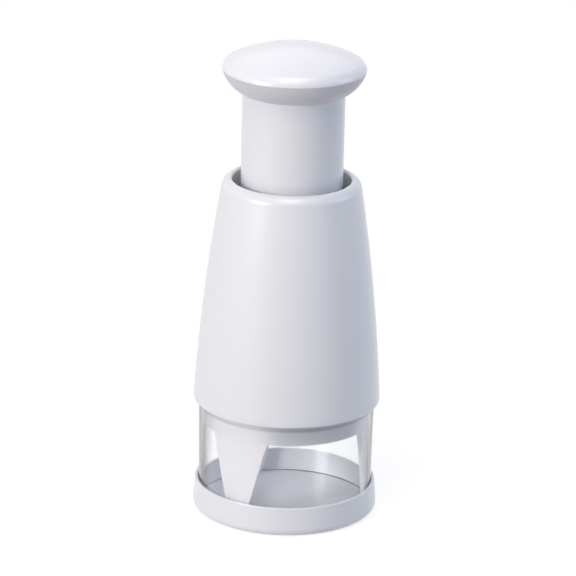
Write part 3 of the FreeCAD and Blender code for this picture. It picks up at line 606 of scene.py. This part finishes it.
class GeometryTree:
    """One Geometry Nodes tree with named inputs, turned into a plain mesh."""

    def __init__(self, name: str, inputs: dict[str, float]) -> None:
        """Make the tree and its input sockets.

        Args:
            name: Name of the tree.
            inputs: Number inputs and the values they get.
        """
        self.tree = bpy.data.node_groups.new(name, "GeometryNodeTree")
        self.values = inputs
        for title in inputs:
            kind = "NodeSocketInt" if isinstance(inputs[title], int) else "NodeSocketFloat"
            self.tree.interface.new_socket(title, in_out="INPUT", socket_type=kind)
        self.tree.interface.new_socket("Material", in_out="INPUT",
                                       socket_type="NodeSocketMaterial")
        self.tree.interface.new_socket("Geometry", in_out="OUTPUT",
                                       socket_type="NodeSocketGeometry")
        self.sketch = NodeSketch(self.tree)
        self.given = self.sketch.add("NodeGroupInput").outputs
        self.result = self.sketch.add("NodeGroupOutput")

    def close(self, geometry: bpy.types.NodeSocket) -> None:
        """End the tree: realize instances, set the material, smooth and put out."""
        real = self.sketch.add("GeometryNodeRealizeInstances")
        paint = self.sketch.add("GeometryNodeSetMaterial")
        smooth = self.sketch.add("GeometryNodeSetShadeSmooth")
        self.sketch.join(geometry, real.inputs["Geometry"])
        self.sketch.join(real.outputs["Geometry"], smooth.inputs["Geometry"])
        self.sketch.join(smooth.outputs["Geometry"], paint.inputs["Geometry"])
        self.sketch.join(self.given["Material"], paint.inputs["Material"])
        self.sketch.join(paint.outputs["Geometry"], self.result.inputs["Geometry"])

    def bake(self, name: str, material: bpy.types.Material) -> bpy.types.Object:
        """Run the tree and keep its result as a plain mesh object.

        Args:
            name: Name of the new piece.
            material: Material that the tree puts on the piece.

        Returns:
            The new piece.
        """
        holder = bpy.data.objects.new(name + "_holder", bpy.data.meshes.new(name + "_seed"))
        bpy.context.scene.collection.objects.link(holder)
        modifier = holder.modifiers.new(name, "NODES")
        modifier.node_group = self.tree
        for item in self.tree.interface.items_tree:
            if item.in_out != "INPUT":
                continue
            modifier[item.identifier] = self.values.get(item.name, material)
        bpy.context.view_layer.update()
        graph = bpy.context.evaluated_depsgraph_get()
        mesh = bpy.data.meshes.new_from_object(holder.evaluated_get(graph))
        holder.modifiers.clear()
        bpy.data.objects.remove(holder)
        piece = bpy.data.objects.new(name, mesh)
        bpy.context.scene.collection.objects.link(piece)
        if not mesh.materials:
            mesh.materials.append(material)
        return piece


@dataclass
class ReturnSpring:
    """Coil spring between the bulkhead and the knob, with closed end turns."""

    wire_radius: float = 0.8 * MM
    turns: float = 9.0
    end_turns: float = 1.0
    turn_steps: int = 48
    wire_sides: int = 12
    stroke: float = 42.0 * MM
    eased_share: float = 0.25
    piece: Optional[bpy.types.Object] = field(default=None, init=False)

    def build(self, workshop: Workshop) -> bpy.types.Object:
        """Wind the coil over the place that the solid spring holds.

        Args:
            workshop: Source of the materials.

        Returns:
            The spring.
        """
        low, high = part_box("return_spring")
        height = high.z - low.z - 2 * self.wire_radius
        coil_radius = (high.x - low.x) / 2 - self.wire_radius
        steps = int((self.turns + 2 * self.end_turns) * self.turn_steps)
        tree = GeometryTree("coil", {
            "Coil Radius": coil_radius, "Wire Radius": self.wire_radius,
            "Height": height, "Foot": low.z + self.wire_radius,
            "Turns": self.turns + 2 * self.end_turns, "Steps": steps,
            "End Share": self.end_turns / (self.turns + 2 * self.end_turns)})
        sketch, given = tree.sketch, tree.given
        line = sketch.add("GeometryNodeMeshLine")
        sketch.join(given["Steps"], line.inputs["Count"])
        index = sketch.add("GeometryNodeInputIndex").outputs[0]
        share = sketch.math("DIVIDE", index, given["Steps"])
        angle = sketch.math("MULTIPLY", sketch.math("MULTIPLY", share, given["Turns"]), math.tau)
        rise = sketch.add("ShaderNodeMapRange")
        rise.interpolation_type = "SMOOTHSTEP"
        sketch.join(share, rise.inputs["Value"])
        flat = sketch.math("MULTIPLY", given["End Share"], 0.5)
        sketch.join(flat, rise.inputs["From Min"])
        sketch.join(sketch.math("SUBTRACT", 1.0, flat), rise.inputs["From Max"])
        eased = sketch.math("MULTIPLY", rise.outputs["Result"], self.eased_share)
        even = sketch.math("ADD", eased, sketch.math("MULTIPLY", share, 1.0 - self.eased_share))
        point = sketch.add("ShaderNodeCombineXYZ")
        for axis, wave in (("X", "COSINE"), ("Y", "SINE")):
            turn = sketch.math(wave, angle, 0.0)
            sketch.join(sketch.math("MULTIPLY", turn, given["Coil Radius"]), point.inputs[axis])
        climb = sketch.math("MULTIPLY", even, given["Height"])
        sketch.join(sketch.math("ADD", climb, given["Foot"]), point.inputs["Z"])
        move = sketch.add("GeometryNodeSetPosition")
        sketch.join(line.outputs["Mesh"], move.inputs["Geometry"])
        sketch.join(point.outputs["Vector"], move.inputs["Position"])
        path = sketch.add("GeometryNodeMeshToCurve")
        sketch.join(move.outputs["Geometry"], path.inputs["Mesh"])
        ring = sketch.add("GeometryNodeCurvePrimitiveCircle")
        ring.inputs["Resolution"].default_value = self.wire_sides
        sketch.join(given["Wire Radius"], ring.inputs["Radius"])
        wire = sketch.add("GeometryNodeCurveToMesh")
        wire.inputs["Fill Caps"].default_value = True
        sketch.join(path.outputs["Curve"], wire.inputs["Curve"])
        sketch.join(ring.outputs["Curve"], wire.inputs["Profile Curve"])
        tree.close(wire.outputs["Mesh"])
        self.piece = tree.bake("coil_spring", workshop.material(STEEL))
        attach(self.piece, "housing")
        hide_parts("return_spring")
        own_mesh(self.piece)
        return self.piece


@dataclass(frozen=True)
class Lamp:
    """One square soft lamp, which points at the chopper."""

    name: str
    bearing: float
    lift: float
    size: float
    power: float
    colour: Colour

    def hang(self, target: Vector, distance: float) -> None:
        """Make the lamp.

        Args:
            target: Point that the lamp shines at.
            distance: Metres from that point. The bearing is in degrees round to the right
                from the camera's side, and the lift in degrees above the worktop.
        """
        round_by, up_by = math.radians(self.bearing), math.radians(self.lift)
        aim = Vector((-math.sin(round_by) * math.cos(up_by),
                      math.cos(round_by) * math.cos(up_by), -math.sin(up_by)))
        light = bpy.data.lights.new(self.name, "AREA")
        light.shape = "SQUARE"
        light.size = self.size
        light.energy = self.power
        light.color = self.colour
        lamp = bpy.data.objects.new(self.name, light)
        bpy.context.scene.collection.objects.link(lamp)
        lamp.location = target - distance * aim
        lamp.rotation_euler = aim.to_track_quat("-Z", "Y").to_euler()


LAMPS = (
    Lamp("key", -52, 15, 0.5, 15.9, (1.0, 0.976, 0.984)),
    Lamp("front", -6, 58, 0.8, 8.5, (1.0, 0.9, 0.822)),
    Lamp("side", 90, 20, 0.8, 6.7, (0.53, 0.697, 1.0)),
    Lamp("top", 0, 85, 0.8, 8.6, (0.989, 0.936, 1.0)),
    Lamp("back", 180, 45, 1.2, 3.0, (1.0, 0.93, 0.96)),
)


@dataclass
class Studio:
    """White floor and background, and the soft lamps."""

    floor_size: float = 6.0
    level: float = -0.2 * MM
    floor_glow: float = 0.80
    fade_start: float = 0.07
    fade_end: float = 0.35
    floor_shadow: float = 0.30
    floor_bounce: float = 0.60
    ambient: Colour = (0.786, 0.857, 1.0)
    ambient_strength: float = 0.21
    lamp_distance: float = 1.8
    target: Vector = field(default_factory=lambda: Vector((0.0, 0.0, 0.1)))

    def build(self) -> None:
        """Make the floor, the world and the lamps."""
        self.floor()
        self.world()
        for lamp in LAMPS:
            lamp.hang(self.target, self.lamp_distance)

    def seen(self, sketch: NodeSketch) -> bpy.types.NodeSocket:
        """Mask of the rays that see the background.

        Args:
            sketch: Tree that the mask is made in.

        Returns:
            A socket that is 1 for rays from the eye, through clear plastic or off gloss.
        """
        path = sketch.add("ShaderNodeLightPath")
        direct = sketch.math("MAXIMUM", path.outputs["Is Camera Ray"],
                             path.outputs["Is Transmission Ray"])
        return sketch.math("MAXIMUM", direct, path.outputs["Is Glossy Ray"])

    def floor(self) -> None:
        """Lay the plain floor, which shows white and keeps a faint shadow."""
        half = self.floor_size / 2
        mesh = bpy.data.meshes.new("floor")
        mesh.from_pydata([(-half, -half, self.level), (half, -half, self.level),
                          (half, half, self.level), (-half, half, self.level)],
                         [], [(0, 1, 2, 3)])
        floor = bpy.data.objects.new("floor", mesh)
        bpy.context.scene.collection.objects.link(floor)
        material = bpy.data.materials.new("floor_white")
        material.use_nodes = True
        tree = material.node_tree
        tree.nodes.clear()
        sketch = NodeSketch(tree)
        lit = sketch.add("ShaderNodeBsdfDiffuse")
        lit.inputs["Color"].default_value = (*(self.floor_bounce,) * 3, 1)
        shadow = sketch.add("ShaderNodeBsdfDiffuse")
        shadow.inputs["Color"].default_value = (*(self.floor_shadow,) * 3, 1)
        glow = sketch.add("ShaderNodeEmission")
        glow.inputs["Strength"].default_value = self.floor_glow
        far = sketch.add("ShaderNodeEmission")
        both = sketch.add("ShaderNodeAddShader")
        fade = sketch.add("ShaderNodeMixShader")
        mix = sketch.add("ShaderNodeMixShader")
        out = sketch.add("ShaderNodeOutputMaterial")
        sketch.join(shadow.outputs[0], both.inputs[0])
        sketch.join(glow.outputs[0], both.inputs[1])
        sketch.join(self.reach(sketch), fade.inputs["Fac"])
        sketch.join(both.outputs[0], fade.inputs[1])
        sketch.join(far.outputs[0], fade.inputs[2])
        sketch.join(self.seen(sketch), mix.inputs["Fac"])
        sketch.join(lit.outputs[0], mix.inputs[1])
        sketch.join(fade.outputs[0], mix.inputs[2])
        sketch.join(mix.outputs[0], out.inputs["Surface"])
        floor.data.materials.append(material)

    def reach(self, sketch: NodeSketch) -> bpy.types.NodeSocket:
        """Mask that grows from the chopper's foot to plain white further out.

        Args:
            sketch: Tree that the mask is made in.

        Returns:
            A socket that is 0 near the chopper and 1 beyond the fade.
        """
        place = sketch.add("ShaderNodeTexCoord")
        span = sketch.add("ShaderNodeVectorMath", operation="LENGTH")
        sketch.join(place.outputs[OBJECT_SPACE], span.inputs[0])
        return sketch.step(span.outputs["Value"], self.fade_start, self.fade_end)

    def world(self) -> None:
        """Light the room softly, and show it white where it is seen."""
        world = bpy.data.worlds.new("studio")
        bpy.context.scene.world = world
        world.use_nodes = True
        tree = world.node_tree
        tree.nodes.clear()
        sketch = NodeSketch(tree)
        soft = sketch.add("ShaderNodeBackground")
        soft.inputs["Color"].default_value = (*self.ambient, 1)
        soft.inputs["Strength"].default_value = self.ambient_strength
        white = sketch.add("ShaderNodeBackground")
        white.inputs["Color"].default_value = (1, 1, 1, 1)
        mix = sketch.add("ShaderNodeMixShader")
        out = sketch.add("ShaderNodeOutputWorld")
        sketch.join(self.seen(sketch), mix.inputs["Fac"])
        sketch.join(soft.outputs[0], mix.inputs[1])
        sketch.join(white.outputs[0], mix.inputs[2])
        sketch.join(mix.outputs[0], out.inputs["Surface"])


@dataclass
class PhotoCamera:
    """Camera at the photograph's angle, found by fitting the chopper's outline."""

    distance: float = 1.78
    height: float = 0.72
    pitch: float = 18.89
    roll: float = 1.4
    focal_pixels: float = 3917.0
    base_column: float = 284.0
    clip_start: float = 0.05
    clip_end: float = 30.0

    def build(self) -> None:
        """Place the camera and make it the scene's."""
        data = bpy.data.cameras.new("photo_camera")
        data.sensor_width = SENSOR_WIDTH
        data.lens = self.focal_pixels * SENSOR_WIDTH / FRAME_PIXELS
        data.clip_start = self.clip_start
        data.clip_end = self.clip_end
        camera = bpy.data.objects.new("photo_camera", data)
        bpy.context.scene.collection.objects.link(camera)
        turn = Euler((math.radians(90 - self.pitch), 0, 0)).to_matrix()
        turn = turn @ Matrix.Rotation(math.radians(self.roll), 3, "Z")
        camera.location = (0.0, -self.distance, self.height)
        camera.rotation_euler = turn.to_euler()
        base = turn.transposed() @ (Vector((0, 0, 0)) - camera.location)
        column = FRAME_PIXELS / 2 + self.focal_pixels * base.x / -base.z
        data.shift_x = (column - self.base_column) / FRAME_PIXELS
        bpy.context.scene.camera = camera


def dress_nodes(frame: dict, workshop: Workshop) -> None:
    """Give every carried-over node its finish.

    Args:
        frame: The loaded frame.
        workshop: Source of the materials.
    """
    for name, piece in frame["nodes"].items():
        finish = NODE_FINISHES.get(name, STEEL)
        workshop.dress(piece, finish)
        log.info("dressed %s in %s", name, finish.name)


def main() -> None:
    """Build the dressed chopper."""
    logging.basicConfig(level=logging.INFO)
    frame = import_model()
    bpy.context.scene.view_settings.view_transform = "Standard"
    workshop = Workshop()
    dress_nodes(frame, workshop)
    ReturnSpring().build(workshop)
    Studio().build()
    PhotoCamera().build()


if __name__ == "__main__":
    main()
